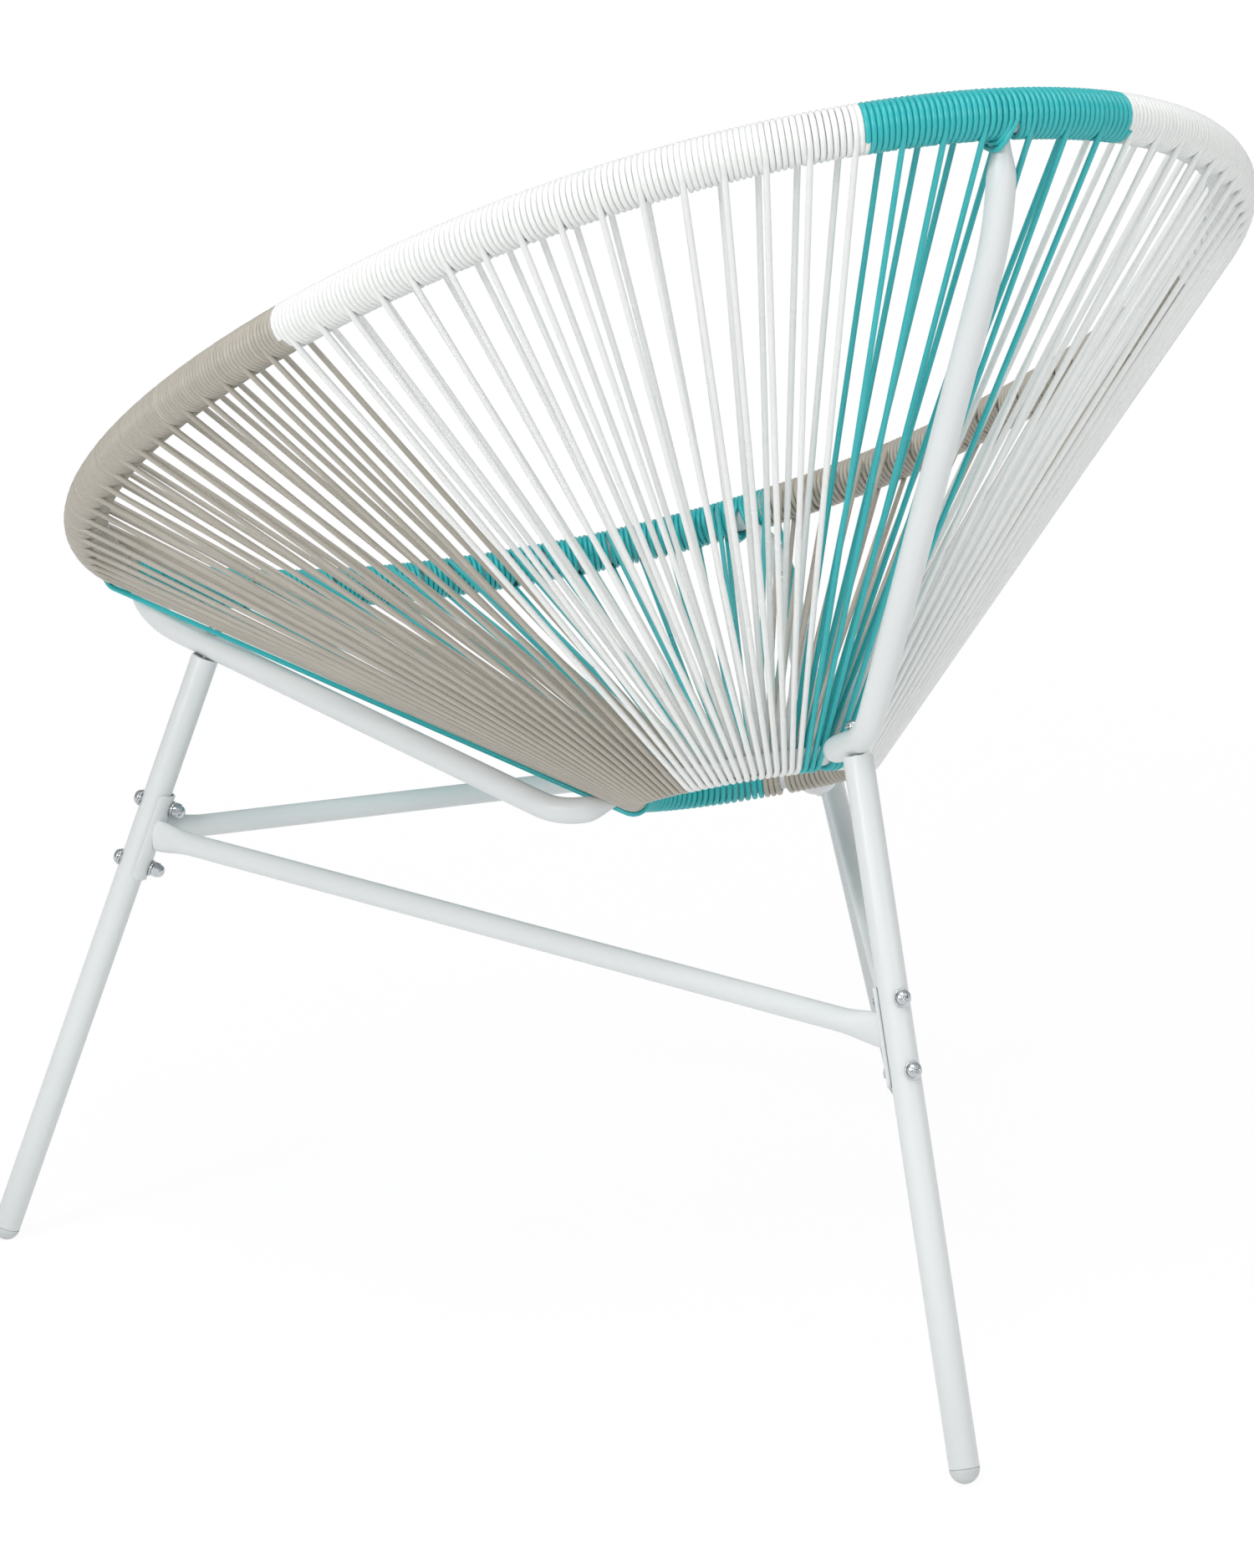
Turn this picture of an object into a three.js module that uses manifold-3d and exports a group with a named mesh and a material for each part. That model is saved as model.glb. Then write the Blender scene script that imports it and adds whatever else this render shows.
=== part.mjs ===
// String lounge chair: a tilted oval hoop and a small seat ring carry the strands, and three legs carry the frame.
// Millimetres, +Z up. The sitter faces -Y, so +X is the sitter's left. The origin is on the floor under the hoop.
import * as THREE from "three";
import { mergeVertices } from "three/addons/utils/BufferGeometryUtils.js";
import Module from "manifold-3d";

const wasm = await Module();
wasm.setup();

// Hoop
const hoopLength = 973.3;
const hoopWidth = 723.3;
const hoopCentreHeight = 641.8;
const hoopTiltDegrees = 25.9;
const hoopTubeDiameter = 23;
const hoopSquarenessShare = 0.009;
const hoopTaperShare = 0.066;

// Seat ring
const ringDiameter = 159;
const ringTubeDiameter = 13;
const ringCentreHeight = 396.3;
const ringSetback = 137.1;
const ringTiltDegrees = 20.3;

// Strands
const strandDiameter = 4;
const spokeCount = 104;
const strandPassGap = 0.8;
const strandPassReach = 46;
const strandAside = 18.4;
const strandAsideReach = 130;
const colourGap = 0.6;
const ringLagDegrees = 7;

// Support tubes
const supportDiameter = 17.8;
const frontSupportHoopDegrees = 139.1;
const frontSupportRingDegrees = 134.9;
const frontKneeAside = 2.2;
const frontKneeInset = 57.3;
const frontKneeDrop = 26.6;
const frontHeelAside = 45.6;
const frontHeelInset = 18;
const frontHeelDrop = 11.8;
const frontKneeSetback = 25.3;
const frontHeelSetback = 22.9;
const frontLegJoinReach = 53.4;
const rearSupportRingDegrees = -8.5;
const rearKneeDrop = 63.6;
const rearHeelReach = 81.8;
const rearHeelRise = 30.1;
const rearHeelAside = 1.2;
const rearKneeSetback = 34;
const rearLegJoinReach = 69;
const rearHeelSetback = 17;

// Legs and feet
const legDiameter = 19.6;
const legWall = 1.5;
const frontFootSpread = 758;
const frontFootReach = 293;
const rearFootReach = 423.9;
const footFlatDiameter = 6;
const footStemLength = 18;
const legTopInsertLength = 24;

// Stretchers and their saddle plates
const frontSaddleDrop = 135.6;
const rearSaddleDrop = 178.8;
const saddleLength = 65;
const saddleThickness = 2.5;
const saddleArcDegrees = 150;
const stretcherDiameter = 16;
const stretcherEndHeight = 23;
const stretcherEndWidth = 9;
const stretcherPinchLength = 34;

// Fasteners
const boltDiameter = 6;
const boltHeadDiameter = 10.5;
const boltHeadHeight = 3.3;
const boltSocketWidth = 4;
const boltSocketDepth = 1.8;
const washerDiameter = 12;
const washerThickness = 1.2;
const nutWidth = 10;
const nutHeight = 5;
const nutDomeHeight = 4;
const saddleBoltPitch = 46;
const boltThreadInNut = 5.5;
const boltThreadInLeg = 16;

// Clearance between touching pieces, the smaller clearance in a fit, and the overrun of a cut
const seatGap = 0.3;
const holeGap = 0.35;
const overrun = 40;

// Facets
const hoopSteps = 58;
const ringSteps = 26;
const supportSteps = 15;
const tubeSides = 8;
const roundSides = 14;
const smallSides = 10;
const passSteps = 2;
const passSides = 6;

// Sizes that follow from the ones above
const hoopRadius = hoopTubeDiameter / 2;
const ringRadius = ringTubeDiameter / 2;
const supportRadius = supportDiameter / 2;
const legRadius = legDiameter / 2;
const strandRadius = strandDiameter / 2;
const boltRadius = boltDiameter / 2;
const hoopTilt = THREE.MathUtils.degToRad(hoopTiltDegrees);
const ringTilt = THREE.MathUtils.degToRad(ringTiltDegrees);
const footCentreHeight = Math.sqrt(legRadius ** 2 - (footFlatDiameter / 2) ** 2);
const saddleInnerRadius = legRadius + seatGap;
const saddleOuterRadius = saddleInnerRadius + saddleThickness;

// Where each colour ends, as shares of the girth from the middle of the back: on the ring, and along the hoop
const colourEndShares = {
  teal: { ring: 0.0288, hoop: 0.0327 },
  white: { ring: 0.1827, hoop: 0.1808 },
  taupe: { ring: 0.3846, hoop: 0.3819 },
};

const finishes = {
  frame: new THREE.MeshStandardMaterial({ color: 0xe4e9ea, roughness: 0.42, metalness: 0 }),
  cap: new THREE.MeshStandardMaterial({ color: 0xd3d7d8, roughness: 0.6, metalness: 0 }),
  zinc: new THREE.MeshStandardMaterial({ color: 0xc9cdd0, roughness: 0.28, metalness: 1 }),
  teal: new THREE.MeshStandardMaterial({ color: 0x2fb9bd, roughness: 0.4, metalness: 0 }),
  taupe: new THREE.MeshStandardMaterial({ color: 0x9c9288, roughness: 0.4, metalness: 0 }),
  white: new THREE.MeshStandardMaterial({ color: 0xeceeea, roughness: 0.4, metalness: 0 }),
};

const chair = new THREE.Group();

// Solids: a closed geometry becomes a manifold for a cut or a join, and comes back as a geometry.
function solid(geometry) {
  const bare = geometry.index ? geometry.toNonIndexed() : geometry.clone();
  bare.deleteAttribute("normal");
  bare.deleteAttribute("uv");
  const merged = mergeVertices(bare, 1e-4);
  const mesh = new wasm.Mesh({
    numProp: 3,
    vertProperties: new Float32Array(merged.attributes.position.array),
    triVerts: new Uint32Array(merged.index.array),
  });
  return new wasm.Manifold(mesh);
}

function geometryOf(made) {
  const mesh = made.getMesh();
  const geometry = new THREE.BufferGeometry();
  geometry.setAttribute("position", new THREE.BufferAttribute(new Float32Array(mesh.vertProperties), 3));
  geometry.setIndex(new THREE.BufferAttribute(new Uint32Array(mesh.triVerts), 1));
  geometry.computeVertexNormals();
  return geometry;
}

function cut(body, ...tools) {
  return tools.reduce((left, tool) => left.subtract(tool), body);
}

function join(bodies) {
  return wasm.Manifold.union(bodies);
}

function place(name, made, finish, parent = chair) {
  const geometry = made.isBufferGeometry ? made : geometryOf(made);
  const mesh = new THREE.Mesh(geometry, finishes[finish]);
  mesh.name = name;
  parent.add(mesh);
  return mesh;
}

// Sections and sweeps
function discShape(radius, boreRadius = 0) {
  const shape = new THREE.Shape();
  shape.absarc(0, 0, radius, 0, 2 * Math.PI, false);
  if (boreRadius > 0) {
    const bore = new THREE.Path();
    bore.absarc(0, 0, boreRadius, 0, 2 * Math.PI, true);
    shape.holes.push(bore);
  }
  return shape;
}

function sweep(path, radius, boreRadius, steps, sides = tubeSides) {
  return new THREE.ExtrudeGeometry(discShape(radius, boreRadius), {
    extrudePath: path,
    steps,
    curveSegments: sides / 2,
    bevelEnabled: false,
  });
}

function rod(from, to, radius, sides = roundSides) {
  return sweep(new THREE.LineCurve3(from, to), radius, 0, 1, sides);
}

// A frame whose Z runs along a direction, for pieces that are turned about their own axis
function placedAlong(origin, direction, across = new THREE.Vector3(0, 0, 1)) {
  const z = direction.clone().normalize();
  const x = across.clone().addScaledVector(z, -across.dot(z)).normalize();
  const y = new THREE.Vector3().crossVectors(z, x);
  return new THREE.Matrix4().makeBasis(x, y, z).setPosition(origin);
}

// Hoop and ring
class HoopCurve extends THREE.Curve {
  getPoint(t, target = new THREE.Vector3()) {
    const angle = 2 * Math.PI * t;
    const fill = 1 - hoopSquarenessShare;
    const lengthwise = (Math.cos(angle) - hoopSquarenessShare * Math.cos(3 * angle)) / fill;
    const widthwise = (Math.sin(angle) + hoopSquarenessShare * Math.sin(3 * angle)) / fill;
    const along = (hoopLength / 2) * lengthwise;
    const across = (hoopWidth / 2) * widthwise * (1 - hoopTaperShare * lengthwise);
    return target.set(across, along * Math.cos(hoopTilt), hoopCentreHeight + along * Math.sin(hoopTilt));
  }
}

class RingCurve extends THREE.Curve {
  getPoint(t, target = new THREE.Vector3()) {
    const angle = 2 * Math.PI * t;
    const along = (ringDiameter / 2) * Math.cos(angle);
    return target.set(
      (ringDiameter / 2) * Math.sin(angle),
      ringSetback + along * Math.cos(ringTilt),
      ringCentreHeight + along * Math.sin(ringTilt),
    );
  }
}

// A stretch of an open curve between two shares of its length
class Stretch extends THREE.Curve {
  constructor(curve, from, to) {
    super();
    Object.assign(this, { curve, from, to });
  }
  getPoint(t, target = new THREE.Vector3()) {
    return this.curve.getPointAt(this.from + (this.to - this.from) * t, target);
  }
}

const hoop = new HoopCurve();
hoop.arcLengthDivisions = 720;
const ring = new RingCurve();
ring.arcLengthDivisions = 360;
const hoopGirth = hoop.getLength();
const ringGirth = ring.getLength();

function closedTube(curve, radius, steps, sides = tubeSides) {
  return new THREE.TubeGeometry(curve, steps, radius, sides, true);
}

const hoopClearance = solid(closedTube(hoop, hoopRadius + seatGap, hoopSteps));
const ringClearance = solid(closedTube(ring, ringRadius + seatGap, ringSteps));

// The share of a closed curve's length that lies nearest a point
function nearestShare(curve, point) {
  const points = curve.getSpacedPoints(curve.arcLengthDivisions);
  const gaps = points.map((other) => other.distanceTo(point));
  const share = gaps.indexOf(Math.min(...gaps)) / curve.arcLengthDivisions;
  return share - Math.round(share);
}

// A bent tube's path: straight runs joined by curves that start a setback before each corner
function bentPath(points, setbacks) {
  const path = new THREE.CurvePath();
  let last = points[0];
  for (let i = 1; i < points.length - 1; i++) {
    const corner = points[i];
    const before = corner.clone().add(points[i - 1].clone().sub(corner).setLength(setbacks[i - 1]));
    const after = corner.clone().add(points[i + 1].clone().sub(corner).setLength(setbacks[i - 1]));
    path.add(new THREE.LineCurve3(last, before));
    path.add(new THREE.QuadraticBezierCurve3(before, corner, after));
    last = after;
  }
  path.add(new THREE.LineCurve3(last, points.at(-1)));
  return path;
}

// Each support's corners, from the hoop to the ring, and where its leg joins it
function frontSupport(side) {
  const top = hoop.getPoint(frontSupportHoopDegrees / 360);
  const end = ring.getPoint(frontSupportRingDegrees / 360);
  const knee = top.clone().add(new THREE.Vector3(frontKneeAside, frontKneeInset, -frontKneeDrop));
  const heel = end.clone().add(new THREE.Vector3(frontHeelAside, -frontHeelInset, -frontHeelDrop));
  const join = knee.clone().add(heel.clone().sub(knee).setLength(frontLegJoinReach));
  for (const point of [top, knee, heel, end, join]) point.x *= side;
  return {
    points: [top, knee, heel, end],
    setbacks: [frontKneeSetback, frontHeelSetback],
    join,
    foot: new THREE.Vector3((side * frontFootSpread) / 2, -frontFootReach, footCentreHeight),
    saddleDrop: frontSaddleDrop,
  };
}

function rearSupport() {
  const top = hoop.getPoint(0);
  const end = ring.getPoint(rearSupportRingDegrees / 360);
  const knee = top.clone().setZ(top.z - rearKneeDrop);
  const heel = new THREE.Vector3(rearHeelAside, end.y + rearHeelReach, end.z + rearHeelRise);
  const run = heel.clone().sub(end).setLength(rearLegJoinReach);
  return {
    points: [top, knee, heel, end],
    setbacks: [rearKneeSetback, rearHeelSetback],
    join: end.clone().add(run),
    foot: new THREE.Vector3(0, rearFootReach, footCentreHeight),
    saddleDrop: rearSaddleDrop,
  };
}

const corners = { rear: rearSupport(), left: frontSupport(1), right: frontSupport(-1) };
for (const corner of Object.values(corners)) {
  corner.hoopShare = nearestShare(hoop, corner.points[0]);
  corner.path = bentPath(corner.points, corner.setbacks);
  corner.axis = corner.join.clone().sub(corner.foot).normalize();
  corner.legTop = corner.join.clone().addScaledVector(corner.axis, -(supportRadius + seatGap));
  corner.saddle = corner.legTop.clone().addScaledVector(corner.axis, -corner.saddleDrop);
}

// The side of each leg that faces the middle of the chair, square to the leg
for (const [name, corner] of Object.entries(corners)) {
  const others = Object.entries(corners).filter(([other]) => other !== name);
  const inward = new THREE.Vector3();
  for (const [, other] of others) inward.add(other.saddle.clone().sub(corner.saddle).normalize());
  inward.addScaledVector(corner.axis, -inward.dot(corner.axis)).normalize();
  corner.inward = inward;
}

function supportClearance(corner) {
  return solid(sweep(corner.path, supportRadius + seatGap, 0, supportSteps));
}

// The room that the wraps leave round a support where it meets the hoop and the ring
function supportPasses(corner) {
  const reachShare = strandPassReach / corner.path.getLength();
  const radius = (supportRadius + strandPassGap) / Math.cos(Math.PI / passSides);
  return [[0, reachShare], [1 - reachShare, 1]].map(([from, to]) =>
    solid(sweep(new Stretch(corner.path, from, to), radius, 0, passSteps, passSides)),
  );
}

// Frame: hoop, ring and supports
place("hoop_tube", closedTube(hoop, hoopRadius, hoopSteps), "frame");
place("seat_ring", closedTube(ring, ringRadius, ringSteps), "frame");

function legBolt(corner) {
  const seat = supportRadius + seatGap;
  const top = corner.join.clone().addScaledVector(corner.axis, seat);
  const bottom = corner.legTop.clone().addScaledVector(corner.axis, -boltThreadInLeg);
  return { top, bottom };
}

function holeAlong(point, direction, length, radius = boltRadius + holeGap) {
  const half = direction.clone().setLength(length);
  return solid(rod(point.clone().sub(half), point.clone().add(half), radius, smallSides));
}

// A flat seat on top of the support for the washer of the leg's bolt
function washerSeat(corner) {
  const low = corner.join.clone().addScaledVector(corner.axis, supportRadius);
  const high = low.clone().addScaledVector(corner.axis, overrun);
  return solid(rod(low, high, washerDiameter / 2 + holeGap, smallSides));
}

for (const [name, corner] of Object.entries(corners)) {
  const tube = solid(sweep(corner.path, supportRadius, 0, supportSteps));
  const hole = holeAlong(corner.join, corner.axis, supportDiameter);
  place("support_tube_" + name, cut(tube, hoopClearance, ringClearance, hole, washerSeat(corner)), "frame");
}

// The room under the strands for the washer and the head of a leg's bolt
function boltHeadPass(corner) {
  const stack = supportRadius + seatGap + washerThickness + seatGap + boltHeadHeight + seatGap;
  const top = corner.join.clone().addScaledVector(corner.axis, stack);
  return solid(rod(corner.join, top, washerDiameter / 2 + seatGap, smallSides));
}

// Washers, bolts and nuts are made on +Z, with their seat at zero, and then placed.
function washer() {
  const disc = new THREE.ExtrudeGeometry(discShape(washerDiameter / 2, boltRadius + holeGap), {
    depth: washerThickness,
    curveSegments: smallSides / 2,
    bevelEnabled: false,
  });
  return disc;
}

function buttonBolt(shankLength) {
  const headRadius = boltHeadDiameter / 2;
  const crown = new THREE.SplineCurve([
    new THREE.Vector2(headRadius, 0),
    new THREE.Vector2(headRadius * 0.88, boltHeadHeight * 0.62),
    new THREE.Vector2(headRadius * 0.5, boltHeadHeight),
  ]);
  const profile = [
    new THREE.Vector2(0, -shankLength),
    new THREE.Vector2(boltRadius, -shankLength),
    new THREE.Vector2(boltRadius, 0),
    ...crown.getPoints(3),
    new THREE.Vector2(0, boltHeadHeight),
  ];
  const body = solid(new THREE.LatheGeometry(profile, smallSides).rotateX(Math.PI / 2));
  const socketRadius = boltSocketWidth / Math.sqrt(3);
  const socket = new THREE.CylinderGeometry(socketRadius, socketRadius, 2 * boltSocketDepth, 6);
  socket.rotateX(Math.PI / 2).translate(0, 0, boltHeadHeight);
  return geometryOf(cut(body, solid(socket)));
}

function capNut() {
  const hexRadius = nutWidth / Math.sqrt(3);
  const hex = new THREE.CylinderGeometry(hexRadius, hexRadius, nutHeight, 6);
  hex.rotateX(Math.PI / 2).translate(0, 0, nutHeight / 2);
  const domeRadius = (nutWidth / 2) * 0.92;
  const dome = new THREE.EllipseCurve(0, 0, domeRadius, nutDomeHeight, 0, Math.PI / 2).getPoints(3);
  const profile = [new THREE.Vector2(0, -nutHeight / 2), new THREE.Vector2(domeRadius, -nutHeight / 2), ...dome];
  const crown = new THREE.LatheGeometry(profile, smallSides).rotateX(Math.PI / 2).translate(0, 0, nutHeight);
  const bore = new THREE.CylinderGeometry(
    boltRadius + holeGap, boltRadius + holeGap, 2 * (boltThreadInNut + seatGap), smallSides,
  ).rotateX(Math.PI / 2);
  return geometryOf(cut(join([solid(hex), solid(crown)]), solid(bore)));
}

function placeTurned(name, geometry, finish, matrix) {
  return place(name, geometry.clone().applyMatrix4(matrix), finish);
}

// Legs with their feet, and the bolt that holds each leg to its support
function footCap(corner) {
  const stemRadius = legRadius - legWall - seatGap;
  const dome = new THREE.EllipseCurve(0, 0, legRadius, legRadius, -Math.PI / 2, 0).getPoints(5);
  const profile = [...dome, new THREE.Vector2(stemRadius, 0), new THREE.Vector2(stemRadius, footStemLength)];
  profile[0].x = 0;
  profile.push(new THREE.Vector2(0, footStemLength));
  const cap = new THREE.LatheGeometry(profile, roundSides).rotateX(Math.PI / 2);
  const floor = new THREE.BoxGeometry(2 * overrun, 2 * overrun, 2 * overrun).translate(
    corner.foot.x, corner.foot.y, -overrun,
  );
  return cut(solid(cap.applyMatrix4(placedAlong(corner.foot, corner.axis, corner.inward))), solid(floor));
}

function legTube(corner) {
  const from = corner.foot.clone().addScaledVector(corner.axis, seatGap);
  const tube = sweep(new THREE.LineCurve3(from, corner.legTop), legRadius, legRadius - legWall, 1, roundSides);
  const holes = saddleBoltPoints(corner).map((point) => holeAlong(point, corner.inward, legDiameter));
  return cut(solid(tube), supportClearance(corner), ...holes);
}

function legTopInsert(corner) {
  const bottom = corner.legTop.clone().addScaledVector(corner.axis, -legTopInsertLength);
  const radius = legRadius - legWall - seatGap;
  const plug = solid(sweep(new THREE.LineCurve3(bottom, corner.legTop), radius, 0, 1, roundSides));
  return cut(plug, supportClearance(corner), holeAlong(corner.legTop, corner.axis, legTopInsertLength + overrun));
}

function saddleBoltPoints(corner) {
  return [1, -1].map((way) => corner.saddle.clone().addScaledVector(corner.axis, (way * saddleBoltPitch) / 2));
}

for (const [name, corner] of Object.entries(corners)) {
  place("leg_" + name, legTube(corner), "frame");
  place("foot_cap_" + name, footCap(corner), "cap");
  place("leg_top_insert_" + name, legTopInsert(corner), "cap");
  const { top, bottom } = legBolt(corner);
  placeTurned("leg_bolt_washer_" + name, washer(), "zinc", placedAlong(top, corner.axis, corner.inward));
  const headSeat = top.clone().addScaledVector(corner.axis, washerThickness + seatGap);
  const bolt = buttonBolt(headSeat.distanceTo(bottom));
  placeTurned("leg_bolt_" + name, bolt, "zinc", placedAlong(headSeat, corner.axis, corner.inward));
}

// Saddle plates: a piece of pipe wall on the inner side of each leg, with its two bolts, washers and cap nuts
function saddlePlate(corner) {
  const half = THREE.MathUtils.degToRad(saddleArcDegrees / 2);
  const shape = new THREE.Shape();
  shape.absarc(0, 0, saddleOuterRadius, -half, half, false);
  shape.absarc(0, 0, saddleInnerRadius, half, -half, true);
  shape.closePath();
  const plate = new THREE.ExtrudeGeometry(shape, {
    depth: saddleLength,
    curveSegments: smallSides / 2,
    bevelEnabled: false,
  }).translate(0, 0, -saddleLength / 2);
  plate.applyMatrix4(placedAlong(corner.saddle, corner.axis, corner.inward));
  const holes = saddleBoltPoints(corner).map((point) => holeAlong(point, corner.inward, legDiameter));
  return cut(solid(plate), ...holes);
}

for (const [name, corner] of Object.entries(corners)) {
  place("saddle_plate_" + name, saddlePlate(corner), "frame");
  const outward = corner.inward.clone().negate();
  saddleBoltPoints(corner).forEach((point, i) => {
    const level = ["upper", "lower"][i];
    const at = (distance) => point.clone().addScaledVector(corner.inward, distance);
    const headWasher = placedAlong(at(-(legRadius + seatGap)), outward, corner.axis);
    placeTurned(`head_washer_${name}_${level}`, washer(), "zinc", headWasher);
    const nutWasher = placedAlong(at(saddleOuterRadius + seatGap), corner.inward, corner.axis);
    placeTurned(`nut_washer_${name}_${level}`, washer(), "zinc", nutWasher);
    const nutSeat = saddleOuterRadius + seatGap + washerThickness + seatGap;
    placeTurned(`cap_nut_${name}_${level}`, capNut(), "zinc", placedAlong(at(nutSeat), corner.inward, corner.axis));
    const headSeat = legRadius + seatGap + washerThickness + seatGap;
    const bolt = buttonBolt(headSeat + nutSeat + boltThreadInNut);
    placeTurned(`saddle_bolt_${name}_${level}`, bolt, "zinc", placedAlong(at(-headSeat), outward, corner.axis));
  });
}

// Stretchers: round tubes, pinched narrower and taller where they meet the saddle plates
function stretcher(from, to) {
  const span = to.saddle.clone().sub(from.saddle);
  const length = span.length();
  const radius = stretcherDiameter / 2;
  const near = [0, 0.4, 0.7, 1].map((share) => saddleOuterRadius + share * stretcherPinchLength);
  const stations = [0, ...near, ...near.map((along) => length - along).reverse(), length];
  const bar = new THREE.CylinderGeometry(1, 1, length, smallSides, stations.length - 1).rotateX(Math.PI / 2);
  const position = bar.attributes.position;
  for (let i = 0; i < position.count; i++) {
    const row = Math.round((position.getZ(i) / length + 0.5) * (stations.length - 1));
    const along = stations[row];
    const fromEnd = Math.min(along, length - along) - saddleOuterRadius;
    const pinch = 1 - THREE.MathUtils.smoothstep(fromEnd, 0, stretcherPinchLength);
    const halfHeight = THREE.MathUtils.lerp(radius, stretcherEndHeight / 2, pinch);
    const halfWidth = THREE.MathUtils.lerp(radius, stretcherEndWidth / 2, pinch);
    position.setXYZ(i, position.getX(i) * halfHeight, position.getY(i) * halfWidth, along);
  }
  bar.applyMatrix4(placedAlong(from.saddle, span));
  const seatRadius = (saddleOuterRadius + seatGap) / Math.cos(Math.PI / roundSides);
  const seats = [from, to].map((corner) => {
    const run = corner.axis.clone().setLength(saddleLength);
    return solid(rod(corner.saddle.clone().sub(run), corner.saddle.clone().add(run), seatRadius));
  });
  return cut(solid(bar), ...seats);
}

place("stretcher_front", stretcher(corners.left, corners.right), "frame");
place("stretcher_left", stretcher(corners.left, corners.rear), "frame");
place("stretcher_right", stretcher(corners.right, corners.rear), "frame");

// Strands: the wraps on the hoop and on the ring, and two strands for each spoke, one on either side of both tubes.
// A wrap is a sleeve whose section has one facet for the outer strand and one for the inner strand, and a strand
// runs from a facet of the hoop's sleeve to the matching facet of the ring's sleeve.
const ringLag = ringLagDegrees / 360;
const wrapOf = (share) => share - Math.floor(share);

// Angles of a sleeve's corners, from the outer side of the strands' sheet towards the strands. A strand's facet
// reaches one strand into the sleeve.
function sleeveAngles(tubeRadius, underside, top) {
  const facet = Math.acos(tubeRadius / (tubeRadius + strandDiameter));
  return [0, facet, ...underside, Math.PI - facet, Math.PI, ...top];
}

const sleeves = {
  hoop: {
    radius: hoopRadius + strandDiameter,
    angles: sleeveAngles(hoopRadius, [Math.PI / 2], [4, 5].map((sixth) => (sixth * Math.PI) / 3)),
    facets: [0, 3],
    shared: [2, 5, 6],
  },
  ring: {
    radius: ringRadius + strandDiameter,
    angles: sleeveAngles(ringRadius, [], [(3 / 2) * Math.PI]),
    facets: [0, 2],
    shared: [4],
  },
};

function sleeveSection(sleeve, centre, tangent, towards) {
  const strandWay = towards.clone().addScaledVector(tangent, -towards.dot(tangent)).normalize();
  const out = new THREE.Vector3().crossVectors(tangent, strandWay);
  if (out.z > 0) out.negate();
  return sleeve.angles.map((angle) =>
    centre
      .clone()
      .addScaledVector(out, sleeve.radius * Math.cos(angle))
      .addScaledVector(strandWay, sleeve.radius * Math.sin(angle)),
  );
}

// The corners of both sleeves at a place along the hoop and the matching place along the ring
function sectionsAt(onHoop, onRing) {
  const hoopShare = wrapOf(onHoop);
  const ringShare = wrapOf(onRing - ringLag);
  const top = hoop.getPointAt(hoopShare);
  const bottom = ring.getPointAt(ringShare);
  const down = bottom.clone().sub(top);
  return {
    hoop: sleeveSection(sleeves.hoop, top, hoop.getTangentAt(hoopShare), down),
    ring: sleeveSection(sleeves.ring, bottom, ring.getTangentAt(ringShare), down.clone().negate()),
  };
}

// The strands behind a front support stand aside for it, and the next ones less and less.
function standAside(share) {
  const centred = share - Math.round(share);
  const support = Math.abs(corners.left.hoopShare);
  const off = (support - Math.abs(centred)) * hoopGirth;
  if (off < 0 || off > strandAsideReach) return share;
  const moved = strandAside * (1 - off / strandAsideReach);
  return share - (Math.sign(centred) * moved) / hoopGirth;
}

function strandSector(from, to) {
  const spokes = [];
  for (let spoke = -spokeCount; spoke < spokeCount; spoke++) {
    const share = (spoke + 0.5) / spokeCount;
    if (share > from.ring && share < to.ring) spokes.push(share);
  }
  // One row of corners at each end, and two at each spoke, which share the corners away from its strands
  const hoopWidthShare = strandRadius / hoopGirth;
  const ringWidthShare = strandRadius / ringGirth;
  const hoopTrim = colourGap / 2 / hoopGirth;
  const ringTrim = colourGap / 2 / ringGirth;
  const rows = [sectionsAt(from.hoop + hoopTrim, from.ring + ringTrim)];
  for (const spoke of spokes) {
    const place = standAside(spoke);
    const middle = sectionsAt(place, spoke);
    for (const side of [-1, 1]) {
      const row = sectionsAt(place + side * hoopWidthShare, spoke + side * ringWidthShare);
      for (const [name, sleeve] of Object.entries(sleeves)) {
        for (const i of sleeve.shared) row[name][i] = middle[name][i];
      }
      rows.push(row);
    }
  }
  rows.push(sectionsAt(to.hoop - hoopTrim, to.ring - ringTrim));

  const faces = [];
  const add = (a, b, c) => {
    if (a !== b && b !== c && c !== a) faces.push(a, c, b);
  };
  const quad = (a, b, c, d) => {
    add(a, b, c);
    add(a, c, d);
  };
  const ends = [rows[0], rows.at(-1)];
  for (const [name, turn] of [["hoop", 1], ["ring", -1]]) {
    const count = sleeves[name].angles.length;
    for (let row = 0; row + 1 < rows.length; row++) {
      const here = rows[row][name];
      const next = rows[row + 1][name];
      for (let i = 0; i < count; i++) {
        const j = (i + 1) % count;
        if (row % 2 === 1 && sleeves[name].facets.includes(i)) continue;
        if (turn > 0) quad(here[i], here[j], next[j], next[i]);
        else quad(here[i], next[i], next[j], here[j]);
      }
    }
    ends.forEach((end, last) => {
      for (let i = 1; i + 1 < count; i++) {
        const [a, b, c] = [end[name][0], end[name][i], end[name][i + 1]];
        if ((last === 0) === (turn > 0)) add(a, c, b);
        else add(a, b, c);
      }
    });
  }
  for (let row = 1; row + 1 < rows.length; row += 2) {
    for (const which of [0, 1]) {
      const [upper, lower] = ["hoop", "ring"].map((name) => {
        const i = sleeves[name].facets[which];
        const [here, next] = [rows[row][name], rows[row + 1][name]];
        return [here[i], here[i + 1], next[i + 1], next[i]];
      });
      upper.forEach((point, i) => {
        const j = (i + 1) % upper.length;
        quad(point, upper[j], lower[j], lower[i]);
      });
    }
  }
  const geometry = new THREE.BufferGeometry().setFromPoints(faces);
  const passes = Object.values(corners).flatMap((corner) => [...supportPasses(corner), boltHeadPass(corner)]);
  return cut(solid(geometry), hoopClearance, ringClearance, ...passes);
}

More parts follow.
